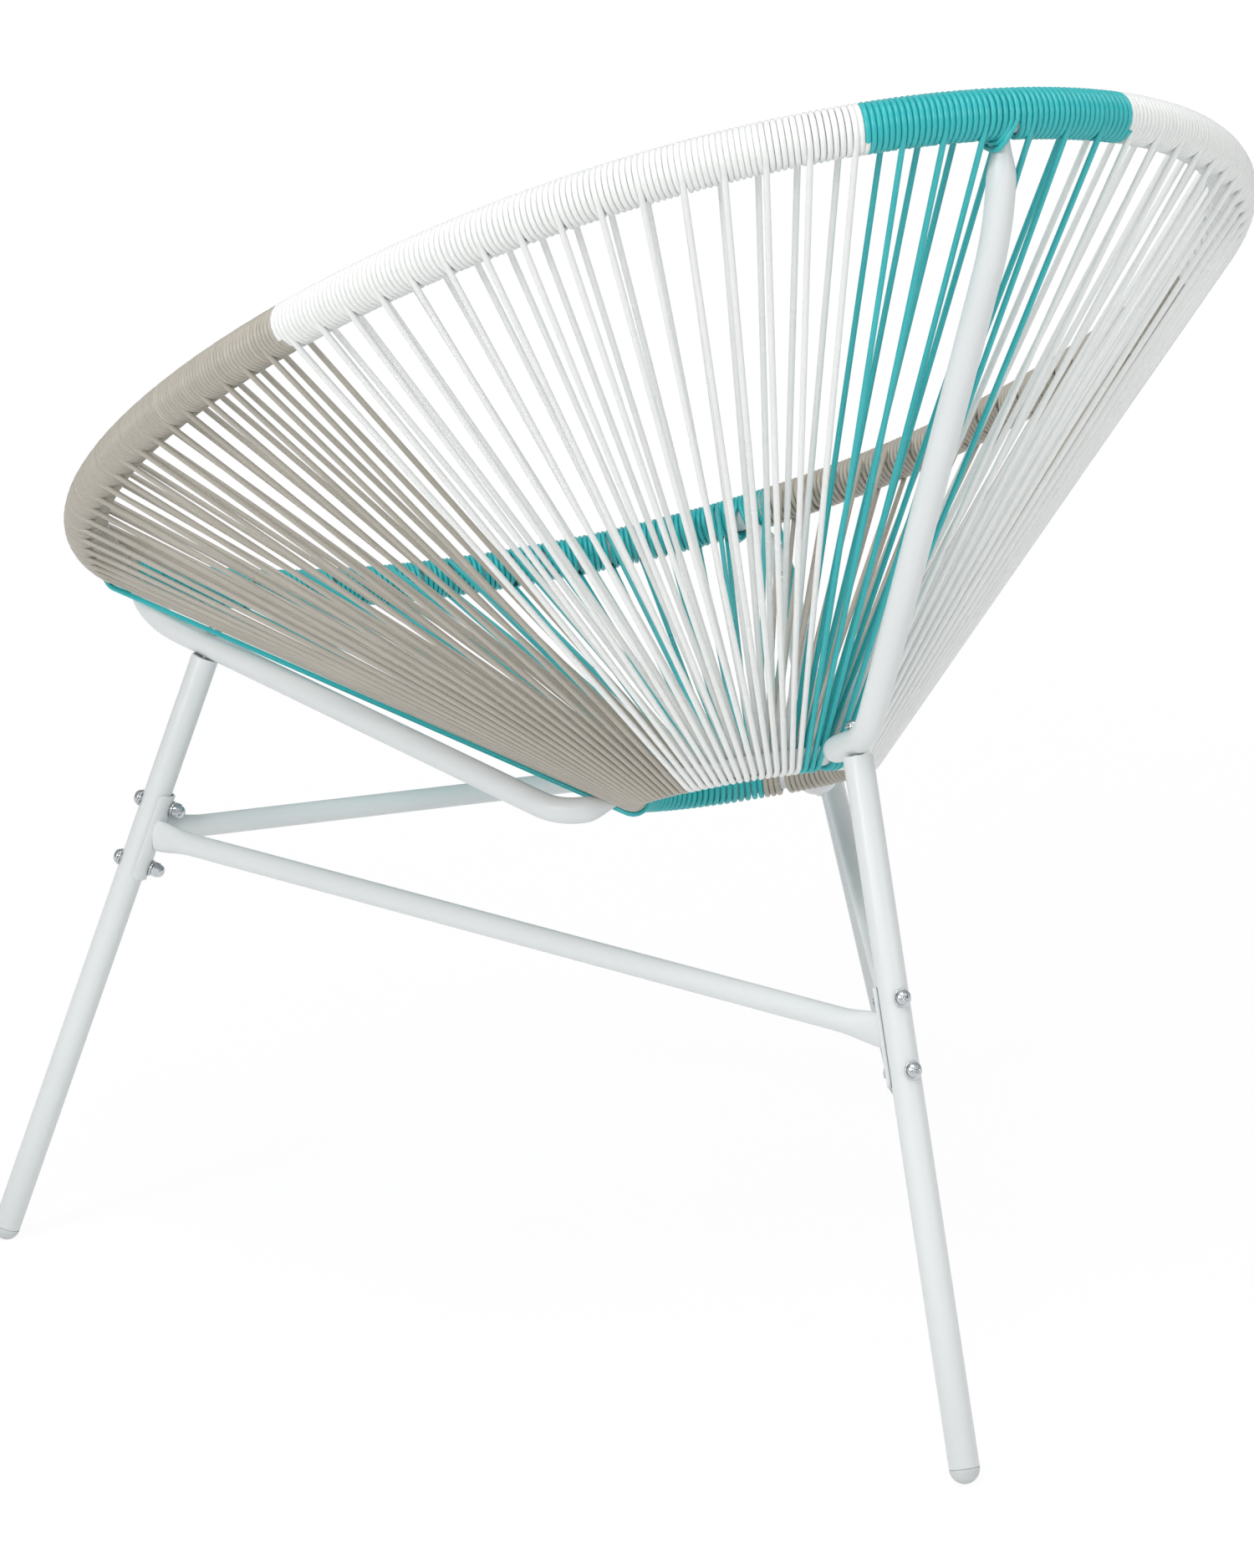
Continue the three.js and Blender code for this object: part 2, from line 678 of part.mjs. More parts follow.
const { teal, white, taupe } = colourEndShares;
const mirrored = (end) => ({ ring: -end.ring, hoop: -end.hoop });
const beyond = (end) => ({ ring: 1 - end.ring, hoop: 1 - end.hoop });
place("strands_back_teal", strandSector(mirrored(teal), teal), "teal");
place("strands_white_left", strandSector(teal, white), "white");
place("strands_taupe_left", strandSector(white, taupe), "taupe");
place("strands_front_teal", strandSector(taupe, beyond(taupe)), "teal");
place("strands_taupe_right", strandSector(mirrored(taupe), mirrored(white)), "taupe");
place("strands_white_right", strandSector(mirrored(white), mirrored(teal)), "white");

export default chair;
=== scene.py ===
"""String lounge chair: vinyl cord wound on a tilted hoop and a seat ring, over a white tube frame on three legs."""
import math

import bpy
import numpy as np
from mathutils import Matrix, Vector


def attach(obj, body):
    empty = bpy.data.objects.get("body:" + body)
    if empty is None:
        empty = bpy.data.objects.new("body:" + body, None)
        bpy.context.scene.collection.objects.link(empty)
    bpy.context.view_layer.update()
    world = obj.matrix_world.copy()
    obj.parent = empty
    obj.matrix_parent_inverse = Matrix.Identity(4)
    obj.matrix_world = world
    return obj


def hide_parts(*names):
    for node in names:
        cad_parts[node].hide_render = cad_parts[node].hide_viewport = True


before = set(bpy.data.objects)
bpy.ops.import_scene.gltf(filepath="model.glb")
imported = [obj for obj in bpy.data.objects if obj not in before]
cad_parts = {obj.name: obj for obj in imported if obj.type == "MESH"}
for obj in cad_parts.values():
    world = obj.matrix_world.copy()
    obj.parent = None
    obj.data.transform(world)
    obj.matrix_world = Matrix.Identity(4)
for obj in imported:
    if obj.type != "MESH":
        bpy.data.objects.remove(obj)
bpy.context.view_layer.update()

# Lengths are written in millimetres and become metres where a mesh is made.
MM = 0.001
UP = np.array([0.0, 0.0, 1.0])

# Hoop and seat ring, as tube centres
HOOP_LENGTH, HOOP_WIDTH, HOOP_HEIGHT = 973.3, 723.3, 641.8
HOOP_TILT = math.radians(25.9)
HOOP_SQUARENESS, HOOP_TAPER = 0.009, 0.066
HOOP_TUBE = 11.5
RING_RADIUS, RING_SETBACK, RING_HEIGHT = 79.5, 137.1, 396.3
RING_TILT = math.radians(20.3)
RING_TUBE = 6.5

# Cord's width in the strands, and in the turns, which lie side by side and are squeezed a little narrower
SPOKES = 104
CORD, WHITE_CORD, WOUND = 3.78, 4.0, 3.66
# Radius of the cord's middle round the hoop and the ring, and the distance from turn to turn
HOOP_WIND, RING_WIND, TURN = 13.55, 8.45, 3.69
# How far a strand's place on the ring lags behind its place on the hoop, as a share of the circle
RING_LAG = 7 / 360

# Radii of the supports, their narrow ends at the hoop and the ring, the legs and the saddle plates' two faces
SUPPORT, NECK, HEEL = 8.9, 4.4, 2.0
LEG, LEG_FACE = 9.78, 9.8
SADDLE_INNER, SADDLE_OUTER = 10.1, 12.6
# A clearance between pieces that sit on each other, and the washers' thickness
SEAT_GAP, WASHER = 0.3, 1.2
# Saddle bolts stand this far above and below the middle of their plate.
BOLT_OFFSET = 23


def unit(v):
    v = np.asarray(v, float)
    return v / np.linalg.norm(v, axis=-1, keepdims=True)


def square_to(v, axis):
    """What is left of v square to an axis, at unit length."""
    return unit(v - np.sum(v * axis, axis=-1, keepdims=True) * axis)


def smooth(x, low, high):
    x = np.clip((np.asarray(x, float) - low) / (high - low), 0, 1)
    return x * x * (3 - 2 * x)


# Hoop and ring curves
def hoop_point(share):
    a = 2 * np.pi * np.asarray(share, float)
    v = (np.cos(a) - HOOP_SQUARENESS * np.cos(3 * a)) / (1 - HOOP_SQUARENESS)
    w = (np.sin(a) + HOOP_SQUARENESS * np.sin(3 * a)) / (1 - HOOP_SQUARENESS)
    x = HOOP_WIDTH / 2 * w * (1 - HOOP_TAPER * v)
    along = HOOP_LENGTH / 2 * v
    return np.stack([x, along * math.cos(HOOP_TILT), HOOP_HEIGHT + along * math.sin(HOOP_TILT)], -1)


def ring_point(share):
    a = 2 * np.pi * np.asarray(share, float)
    along = RING_RADIUS * np.cos(a)
    return np.stack(
        [RING_RADIUS * np.sin(a), RING_SETBACK + along * math.cos(RING_TILT),
         RING_HEIGHT + along * math.sin(RING_TILT)], -1)


_shares = np.linspace(-0.5, 0.5, 8001)
_steps = np.linalg.norm(np.diff(hoop_point(_shares), axis=0), axis=1)
_travel = np.concatenate([[0], np.cumsum(_steps)])
GIRTH = _travel[-1]
_travel -= np.interp(0, _shares, _travel)


def hoop_share(travel):
    """The curve's share at a distance along the hoop from the middle of the back."""
    turns = np.floor((np.asarray(travel, float) + GIRTH / 2) / GIRTH)
    return np.interp(travel - turns * GIRTH, _travel, _shares)


def sheet_frame(centre, tangent, far_end):
    """Centre, tangent, the way along the strands to their far end, and the outer side of the strands' sheet."""
    way = square_to(far_end - centre, tangent)
    outer = np.cross(tangent, way)
    return centre, tangent, way, np.where(outer[..., 2:] > 0, -outer, outer)


def hoop_frame(travel):
    """The frame at distances along the hoop, facing the ring."""
    travel = np.asarray(travel, float)
    tangent = unit(hoop_point(hoop_share(travel + 0.5)) - hoop_point(hoop_share(travel - 0.5)))
    return sheet_frame(hoop_point(hoop_share(travel)), tangent, ring_point(travel / GIRTH - RING_LAG))


def ring_frame(share):
    """The frame at shares of the ring, facing the hoop."""
    share = np.asarray(share, float)
    tangent = unit(ring_point(share + 0.0005) - ring_point(share - 0.0005))
    return sheet_frame(ring_point(share), tangent, hoop_point(hoop_share((share + RING_LAG) * GIRTH)))


def frame_at(frame_of, place):
    """One of these frames, at a single place."""
    return [v[0] for v in frame_of(np.array([place]))]


# Where the supports, legs and plates are
class Corner:
    """A support and its leg: the support's corner points, how far its bends reach from them, where the leg's axis
    meets the support, and how far down the leg the saddle plate is."""

    def __init__(self, points, setbacks, join, foot, saddle_drop, side):
        self.points = points
        self.setbacks = setbacks
        self.join = join
        self.foot = np.array(foot, float)
        self.side = unit(side)
        self.axis = unit(self.join - self.foot)
        self.leg_top = self.join - self.axis * (SUPPORT + SEAT_GAP)
        self.saddle = self.leg_top - self.axis * saddle_drop


# A foot's dome has a flat of 3 mm radius on the floor.
FOOT_HEIGHT = math.sqrt(LEG_FACE ** 2 - 3 ** 2)
# Where the supports meet the hoop and the ring, in degrees round them
FRONT_NECK, FRONT_HEEL, REAR_HEEL = 139.1, 134.9, -8.5


def front_corner(side):
    """The sitter's left corner for a side of 1, and the right one for -1. Its leg joins below the knee."""
    top = hoop_point(FRONT_NECK / 360)
    end = ring_point(FRONT_HEEL / 360)
    knee = top + [2.2, 57.3, -26.6]
    heel = end + [45.6, -18.0, -11.8]
    top, knee, heel, end = (p * [side, 1, 1] for p in (top, knee, heel, end))
    return Corner([top, knee, heel, end], [25.3, 22.9], knee + unit(heel - knee) * 53.4,
                  [379 * side, -293, FOOT_HEIGHT], 135.6, np.cross(heel - knee, UP))


def rear_corner():
    """The corner in the middle of the back. Its leg joins between the heel and the ring."""
    top = hoop_point(0)
    end = ring_point(REAR_HEEL / 360)
    knee = top - 63.6 * UP
    heel = np.array([1.2, end[1] + 81.8, end[2] + 30.1])
    return Corner([top, knee, heel, end], [34, 17], end + unit(heel - end) * 69,
                  [0, 423.9, FOOT_HEIGHT], 178.8, [1, 0, 0])


corners = {"rear": rear_corner(), "left": front_corner(1), "right": front_corner(-1)}
for name, corner in corners.items():
    inward = sum(unit(other.saddle - corner.saddle) for key, other in corners.items() if key != name)
    corner.inward = square_to(inward, corner.axis)


# Materials
def linear(colour):
    """An sRGB hex colour as linear RGBA."""
    parts = [int(colour[i:i + 2], 16) / 255 for i in (1, 3, 5)]
    return [p / 12.92 if p <= 0.04045 else ((p + 0.055) / 1.055) ** 2.4 for p in parts] + [1.0]


def add_node(tree, kind, settings=(), inputs=()):
    """A node with its settings, and with values or links on its sockets."""
    made = tree.nodes.new(kind)
    for name, value in dict(settings).items():
        setattr(made, name, value)
    for name, value in dict(inputs).items():
        if isinstance(value, bpy.types.NodeSocket):
            tree.links.new(value, made.inputs[name])
        else:
            made.inputs[name].default_value = value
    return made


def new_material(name, colour):
    material = bpy.data.materials.new(name)
    material.diffuse_color = linear(colour)
    material.use_nodes = True
    material.node_tree.nodes.clear()
    return material, material.node_tree


def powder_coat():
    """Polyester powder coat, sprayed and baked: a cool white satin skin with a fine orange peel."""
    material, tree = new_material("white_powder_coat", "#E5E9E9")
    place = add_node(tree, "ShaderNodeTexCoord").outputs["Object"]
    cloud = add_node(tree, "ShaderNodeTexNoise", inputs={"Vector": place, "Scale": 9.0, "Detail": 3.0})
    tone = add_node(tree, "ShaderNodeMix", {"data_type": "RGBA"},
                    {0: cloud.outputs["Fac"], 6: linear("#E1E5E6"), 7: linear("#E9ECEC")})
    # Orange peel is about 1.5 mm from crest to crest.
    peel = add_node(tree, "ShaderNodeTexNoise", inputs={"Vector": place, "Scale": 1 / (1.5 * MM), "Detail": 1.5})
    bump = add_node(tree, "ShaderNodeBump", inputs={"Height": peel.outputs["Fac"], "Strength": 0.12,
                                                    "Distance": 0.06 * MM})
    gloss = add_node(tree, "ShaderNodeMapRange",
                     inputs={"Value": cloud.outputs["Fac"], "To Min": 0.3, "To Max": 0.4})
    skin = add_node(tree, "ShaderNodeBsdfPrincipled",
                    inputs={"Base Color": tone.outputs[2], "Roughness": gloss.outputs["Result"], "IOR": 1.5,
                            "Normal": bump.outputs["Normal"]})
    add_node(tree, "ShaderNodeOutputMaterial", inputs={"Surface": skin.outputs["BSDF"]})
    return material


def moulded_cap():
    """Moulded polyethylene: a pale grey, slightly waxy foot cap with a fine tool texture."""
    material, tree = new_material("grey_moulded_cap", "#D2D6D6")
    place = add_node(tree, "ShaderNodeTexCoord").outputs["Object"]
    grain = add_node(tree, "ShaderNodeTexNoise", inputs={"Vector": place, "Scale": 1 / (0.6 * MM), "Detail": 2.0})
    scuff = add_node(tree, "ShaderNodeTexNoise", inputs={"Vector": place, "Scale": 120.0, "Detail": 4.0})
    tone = add_node(tree, "ShaderNodeMix", {"data_type": "RGBA"},
                    {0: scuff.outputs["Fac"], 6: linear("#C6CACA"), 7: linear("#DADDDD")})
    bump = add_node(tree, "ShaderNodeBump", inputs={"Height": grain.outputs["Fac"], "Strength": 0.2,
                                                    "Distance": 0.05 * MM})
    body = add_node(tree, "ShaderNodeBsdfPrincipled",
                    inputs={"Base Color": tone.outputs[2], "Roughness": 0.5, "IOR": 1.5,
                            "Normal": bump.outputs["Normal"]})
    add_node(tree, "ShaderNodeOutputMaterial", inputs={"Surface": body.outputs["BSDF"]})
    return material


def bright_zinc():
    """Zinc plate on rolled and turned steel: a bright, slightly cloudy silver."""
    material, tree = new_material("bright_zinc_plate", "#C6CACE")
    place = add_node(tree, "ShaderNodeTexCoord").outputs["Object"]
    cloud = add_node(tree, "ShaderNodeTexNoise", inputs={"Vector": place, "Scale": 1 / (3 * MM), "Detail": 3.0})
    tone = add_node(tree, "ShaderNodeMix", {"data_type": "RGBA"},
                    {0: cloud.outputs["Fac"], 6: linear("#B4B8BC"), 7: linear("#D4D8DA")})
    rough = add_node(tree, "ShaderNodeMapRange",
                     inputs={"Value": cloud.outputs["Fac"], "To Min": 0.18, "To Max": 0.34})
    metal = add_node(tree, "ShaderNodeBsdfPrincipled",
                     inputs={"Base Color": tone.outputs[2], "Metallic": 1.0, "Roughness": rough.outputs["Result"]})
    add_node(tree, "ShaderNodeOutputMaterial", inputs={"Surface": metal.outputs["BSDF"]})
    return material


def vinyl_cord(name, colour, dark, light, depth):
    """Extruded PVC cord: a smooth satin skin that lets a little light in, with slow changes of tone along it."""
    material, tree = new_material(name, colour)
    along = add_node(tree, "ShaderNodeAttribute", {"attribute_name": "along_cord"})
    place = add_node(tree, "ShaderNodeTexCoord").outputs["Object"]
    # Tone drifts over about 90 mm of cord, and a finer cloud of 8 mm breaks it up.
    drift = add_node(tree, "ShaderNodeTexNoise", {"noise_dimensions": "1D"},
                     {"W": along.outputs["Fac"], "Scale": 1 / (90 * MM), "Detail": 3.0})
    tone = add_node(tree, "ShaderNodeMix", {"data_type": "RGBA"},
                    {0: drift.outputs["Fac"], 6: linear(dark), 7: linear(light)})
    skin = add_node(tree, "ShaderNodeTexNoise", inputs={"Vector": place, "Scale": 1 / (1.2 * MM), "Detail": 2.0})
    bump = add_node(tree, "ShaderNodeBump", inputs={"Height": skin.outputs["Fac"], "Strength": 0.05,
                                                    "Distance": 0.03 * MM})
    rough = add_node(tree, "ShaderNodeMapRange",
                     inputs={"Value": drift.outputs["Fac"], "To Min": 0.24, "To Max": 0.33})
    body = add_node(tree, "ShaderNodeBsdfPrincipled",
                    inputs={"Base Color": tone.outputs[2], "Roughness": rough.outputs["Result"], "IOR": 1.53,
                            "Subsurface Weight": depth, "Subsurface Radius": (1.0, 1.0, 1.0),
                            "Subsurface Scale": 3.0 * MM, "Normal": bump.outputs["Normal"]})
    add_node(tree, "ShaderNodeOutputMaterial", inputs={"Surface": body.outputs["BSDF"]})
    return material


COAT = powder_coat()
CAP = moulded_cap()
ZINC = bright_zinc()
TEAL = vinyl_cord("teal_vinyl_cord", "#2DB7BB", "#22AEB2", "#3AC3C6", 0.0)
TAUPE = vinyl_cord("taupe_vinyl_cord", "#B7B1A5", "#AAA498", "#C3BDB2", 0.0)
WHITE = vinyl_cord("white_vinyl_cord", "#F4F6F4", "#F0F2F0", "#F8F9F7", 0.25)


# Meshes
def settle(made, nodes):
    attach(made, "root")
    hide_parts(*nodes)


def linked(name, data):
    """A new object in the scene."""
    made = bpy.data.objects.new(name, data)
    bpy.context.scene.collection.objects.link(made)
    return made


def mesh_from(name, points, edges, faces):
    """A smooth mesh, with its points given in millimetres."""
    mesh = bpy.data.meshes.new(name)
    mesh.from_pydata([tuple(p) for p in np.asarray(points) * MM], edges, faces)
    mesh.polygons.foreach_set("use_smooth", [True] * len(mesh.polygons))
    return mesh


def piece_from(name, points, faces, material, nodes, slot):
    """A finished piece at the origin."""
    mesh = mesh_from(name, points, [], faces)
    mesh.materials.append(material)
    mesh.validate()
    settle(linked(name, mesh), nodes)


def loft(loops, closed=False):
    """Quads between equal loops of points, with a fan over each end unless the last loop runs into the first."""
    rows, count = len(loops), len(loops[0])
    points = [p for loop in loops for p in loop]
    faces = []
    for r in range(rows if closed else rows - 1):
        a, b = r * count, ((r + 1) % rows) * count
        for i in range(count):
            j = (i + 1) % count
            faces.append((a + i, a + j, b + j, b + i))
    if not closed:
        for loop, first, way in ((loops[0], 0, -1), (loops[-1], (rows - 1) * count, 1)):
            centre = len(points)
            points.append(np.mean(loop, axis=0))
            for i in range(count):
                side = (first + i, first + (i + 1) % count)[::way]
                faces.append((*side, centre))
    return points, faces


def ellipse(centre, side, depth, width, height, count):
    """A loop that runs from side towards depth."""
    a = np.arange(count) * 2 * np.pi / count
    return centre + np.outer(np.cos(a) * width, side) + np.outer(np.sin(a) * height, depth)


def bent_path(points, setbacks, spacing=3.0):
    """Straight runs joined by curves that start a setback before each corner, as evenly spaced points."""
    fine = []
    last = points[0]
    for i in range(1, len(points) - 1):
        corner, setback = points[i], setbacks[i - 1]
        before = corner + unit(points[i - 1] - corner) * setback
        after = corner + unit(points[i + 1] - corner) * setback
        fine += [last + (before - last) * t for t in np.linspace(0, 1, 60, endpoint=False)]
        fine += [before * (1 - t) ** 2 + corner * 2 * t * (1 - t) + after * t * t
                 for t in np.linspace(0, 1, 60, endpoint=False)]
        last = after
    fine += [last + (points[-1] - last) * t for t in np.linspace(0, 1, 60)]
    fine = np.array(fine)
    travel = np.concatenate([[0], np.cumsum(np.linalg.norm(np.diff(fine, axis=0), axis=1))])
    count = max(2, int(round(travel[-1] / spacing)))
    even = np.linspace(0, travel[-1], count + 1)
    return np.stack([np.interp(even, travel, fine[:, k]) for k in range(3)], -1), even


def tangents(path):
    return unit(np.gradient(path, axis=0))


# Tubes of the frame
def ring_tube(name, point, radius, steps, node):
    """A closed tube, mostly hidden by the cord."""
    shares = np.arange(steps) / steps
    centres = point(shares)
    along = unit(point(shares + 0.0005) - point(shares - 0.0005))
    across = square_to(np.cross(along, UP), along)
    depth = np.cross(along, across)
    loops = [ellipse(c, s, d, radius, radius, 20) for c, s, d in zip(centres, across, depth)]
    piece_from(name, *loft(loops, closed=True), COAT, [node], "frame")


# The tubes stay a hair inside their true radius, clear of the cord.
ring_tube("hoop_tube_smooth", hoop_point, HOOP_TUBE - 0.05, 240, "hoop_tube")
ring_tube("seat_ring_smooth", ring_point, RING_TUBE - 0.05, 120, "seat_ring")


def support_tube(name, corner):
    """A bent tube, swaged to a cone at both ends so that the cord closes up beside it."""
    path, travel = bent_path(corner.points, corner.setbacks)
    along = tangents(path)
    side = square_to(np.tile(corner.side, (len(path), 1)), along)
    depth = np.cross(along, side)
    from_hoop, from_ring = travel, travel[-1] - travel
    neck = NECK + (SUPPORT - NECK) * smooth(from_hoop, 12, 38)
    heel = HEEL + (SUPPORT - HEEL) * smooth(from_ring, 9, 36)
    loops = [ellipse(c, s, d, r, r, 32) for c, s, d, r in zip(path, side, depth, np.minimum(neck, heel))]
    piece_from("support_" + name, *loft(loops), COAT, ["support_tube_" + name], "frame")


def turned(profile, count=48, closed=False):
    """A body of revolution about +Z from (height, radius) pairs, where a radius may be a function of the angle."""
    a = np.arange(count) * 2 * np.pi / count
    loops = []
    for height, radius in profile:
        r = radius(a) if callable(radius) else np.full(count, float(radius))
        loops.append(np.stack([r * np.cos(a), r * np.sin(a), np.full(count, float(height))], -1))
    return loft(loops, closed)


def hexagon(width):
    """The radius of a hexagon of that width across its flats, at each angle."""
    def radius(a):
        return width / 2 / np.cos((a + math.pi / 6) % (math.pi / 3) - math.pi / 6)
    return radius


def basis(z, x):
    """Columns that turn a body made on +Z, with its +X near x."""
    z = unit(z)
    x = square_to(np.asarray(x, float), z)
    return np.stack([x, np.cross(z, x), z], -1)


def placed(points, origin, turn):
    return np.asarray(points) @ turn.T + origin


def leg(name, corner):
    """A straight tube with an open top, where a plug takes the bolt."""
    low = corner.foot + corner.axis * SEAT_GAP
    length = np.linalg.norm(corner.leg_top - low)
    wall, bore_depth = 1.5, 26
    inner = LEG - wall
    profile = [(0.0, LEG - 0.25), (0.25, LEG), (length * 0.35, LEG), (length * 0.7, LEG), (length - 0.7, LEG),
               (length - 0.2, LEG - 0.2), (length, LEG - 0.7), (length - 0.1, inner + 0.25), (length - 0.5, inner),
               (length - bore_depth, inner)]
    points, faces = turned(profile)
    turn = basis(corner.axis, corner.inward)
    piece_from("leg_" + name + "_tube", placed(points, low, turn), faces, COAT, ["leg_" + name], "frame")
    plug = [(-24, inner - 0.35), (-1.2, inner - 0.35), (-0.6, inner - 0.7), (-0.5, 3.4), (-3, 3.3)]
    points, faces = turned(plug, 32)
    piece_from("leg_top_plug_" + name, placed(points, corner.leg_top, turn), faces, CAP,
               ["leg_top_insert_" + name], "caps")


def foot_cap(name, corner):
    """A domed cap with a stepped rim against the tube and a small worn flat on the floor."""
    profile = [(-LEG * math.cos(a), LEG * math.sin(a)) for a in np.radians(np.linspace(0, 90, 14))]
    profile += [(0.0, LEG), (0.05, LEG - 0.5), (0.05, 8.0), (18, 8.0)]
    points, faces = turned(profile)
    points = placed(points, corner.foot, basis(corner.axis, corner.inward))
    points[:, 2] = np.maximum(points[:, 2], 0.02)
    piece_from("foot_cap_" + name + "_domed", points, faces, CAP, ["foot_cap_" + name], "caps")


def saddle_plate(name, corner):
    """A piece of pipe wall with round corners and soft edges, bent round the inner side of the leg."""
    half_length, half_angle, corner_round, edge = 32.5, math.radians(75), 5.0, 0.5
    ends = list(half_length - corner_round * (1 - np.sin(np.radians(np.linspace(0, 90, 9)))))
    rows = []
    for z in [-z for z in reversed(ends)] + list(np.linspace(-27, 27, 8)[1:-1]) + ends:
        over = max(0.0, abs(z) - (half_length - corner_round))
        pull = corner_round - math.sqrt(max(0.0, corner_round ** 2 - over ** 2))
        half = half_angle - pull / SADDLE_OUTER
        thin = edge * (1 - math.sqrt(max(0.0, 1 - max(0.0, (abs(z) - half_length + edge) / edge) ** 2)))
        low, high = SADDLE_INNER + thin, SADDLE_OUTER - thin
        reach = half - edge / SADDLE_OUTER
        across = [(high, a) for a in np.linspace(-reach, reach, 25)]
        back = [(low, a) for a in np.linspace(reach, -reach, 25)]
        rim = [(high - edge * (1 - math.cos(b)), half - (edge / SADDLE_OUTER) * (1 - math.sin(b)))
               for b in (0.4, 1.2)]
        other_rim = [(r, -a) for r, a in reversed(rim)]
        rows.append(np.array([(r * math.cos(a), r * math.sin(a), z) for r, a in across + rim + back + other_rim]))
    points, faces = loft(rows)
    piece_from("saddle_" + name + "_plate", placed(points, corner.saddle, basis(corner.axis, corner.inward)), faces,
               COAT, ["saddle_plate_" + name], "frame")


def stretcher(name, start, end):
    """A round tube, pinched narrower and taller where it is welded to the saddle plates."""
    radius, end_height, end_width, pinch_length = 8, 11.5, 4.5, 34
    span = end.saddle - start.saddle
    length = np.linalg.norm(span)
    way = span / length
    tall = square_to(UP, way)
    wide = np.cross(way, tall)
    # Stations lie close together over the pinched ends, and the tube runs a little into the plates.
    clear = length - 2 * SADDLE_OUTER
    close = np.linspace(1, 40, 26)
    stations = SADDLE_OUTER + 0.1 + np.concatenate(
        [np.linspace(-0.9, 0, 2), close, np.linspace(48, clear - 48, 12), clear - close[::-1],
         clear + np.linspace(0, 0.9, 2)])
    loops = []
    for along in stations:
        pinch = 1 - smooth(min(along, length - along) - SADDLE_OUTER, 0, pinch_length)
        height = radius + (end_height - radius) * pinch
        width = radius + (end_width - radius) * pinch
        loops.append(ellipse(start.saddle + way * along, wide, -tall, width, height, 36))
    piece_from("stretcher_" + name + "_tube", *loft(loops), COAT, ["stretcher_" + name], "frame")


for name, corner in corners.items():
    support_tube(name, corner)
    leg(name, corner)
    foot_cap(name, corner)
    saddle_plate(name, corner)
stretcher("front", corners["left"], corners["right"])
stretcher("left", corners["left"], corners["rear"])
stretcher("right", corners["right"], corners["rear"])


# Fasteners, placed by a tree that puts one template on every point
def new_tree(name, inputs, output):
    """A geometry tree with its sockets, and what it is given."""
    tree = bpy.data.node_groups.new(name, "GeometryNodeTree")
    for socket, kind in inputs.items():
        tree.interface.new_socket(socket, in_out="INPUT", socket_type="NodeSocket" + kind)
    tree.interface.new_socket(output, in_out="OUTPUT", socket_type="NodeSocketGeometry")
    return tree, add_node(tree, "NodeGroupInput").outputs


def fastener_tree():
    sockets = {"Places": "Geometry", "Fastener": "Object", "Size": "Float", "Finish": "Material"}
    tree, given = new_tree("fasteners_on_points", sockets, "Fasteners")
    turn = add_node(tree, "GeometryNodeInputNamedAttribute", {"data_type": "QUATERNION"}, {"Name": "turn"})
    template = add_node(tree, "GeometryNodeObjectInfo", inputs={"Object": given["Fastener"]})
    set_out = add_node(tree, "GeometryNodeInstanceOnPoints",
                       inputs={"Points": given["Places"], "Instance": template.outputs["Geometry"],
                               "Rotation": turn.outputs["Attribute"], "Scale": given["Size"]})
    real = add_node(tree, "GeometryNodeRealizeInstances", inputs={"Geometry": set_out.outputs["Instances"]})
    finish = add_node(tree, "GeometryNodeSetMaterial",
                      inputs={"Geometry": real.outputs["Geometry"], "Material": given["Finish"]})
    add_node(tree, "NodeGroupOutput", inputs={"Fasteners": finish.outputs["Geometry"]})
    return tree


def grow(holder, tree, values):
    """Runs a tree on an object once, and leaves a plain mesh."""
    modifier = holder.modifiers.new(tree.name, "NODES")
    modifier.node_group = tree
    for socket in tree.interface.items_tree:
        if socket.in_out == "INPUT" and socket.name in values:
            modifier[socket.identifier] = values[socket.name]
    depsgraph = bpy.context.evaluated_depsgraph_get()
    mesh = bpy.data.meshes.new_from_object(holder.evaluated_get(depsgraph), preserve_all_data_layers=True,
                                           depsgraph=depsgraph)
    holder.modifiers.clear()
    holder.data = mesh
    mesh.name = holder.name


FASTENERS = fastener_tree()


def fasteners(name, shape, places, nodes):
    """One kind of fastener on all of its places: (origin, axis, clocking) each."""
    points, faces = shape
    mesh = mesh_from(name + "_template", points, [], faces)
    mesh.set_sharp_from_angle(angle=math.radians(32))
    template = linked(name + "_template", mesh)

    spots = mesh_from(name, [origin for origin, _, _ in places], [], [])
    turns = spots.attributes.new("turn", "QUATERNION", "POINT")
    for i, (_, axis, across) in enumerate(places):
        turns.data[i].value = Matrix(basis(axis, across).tolist()).to_quaternion()
    made = linked(name, spots)
    grow(made, FASTENERS, {"Fastener": template, "Size": 1.0, "Finish": ZINC})
    bpy.data.objects.remove(template)
    settle(made, nodes)


def button_bolt(shank):
    """A low round head with a hex socket, on a plain shank."""
    socket = hexagon(4.0)
    profile = [(-shank, 2.6), (-shank + 0.5, 3.0), (-0.01, 3.0), (0.0, 5.15), (0.15, 5.25), (0.5, 5.25), (1.2, 5.0),
               (2.0, 4.45), (2.7, 3.7), (3.1, 3.1), (3.28, 2.75), (3.25, lambda a: socket(a) + 0.12),
               (3.1, socket), (1.5, socket), (1.35, lambda a: socket(a) * 0.9), (0.9, 0.2)]
    return turned(profile)


def washer():
    profile = [(0.0, 3.35), (0.0, 5.85), (0.12, 6.0), (1.05, 6.0), (WASHER, 5.8), (WASHER, 3.45), (1.1, 3.35)]
    return turned(profile, closed=True)


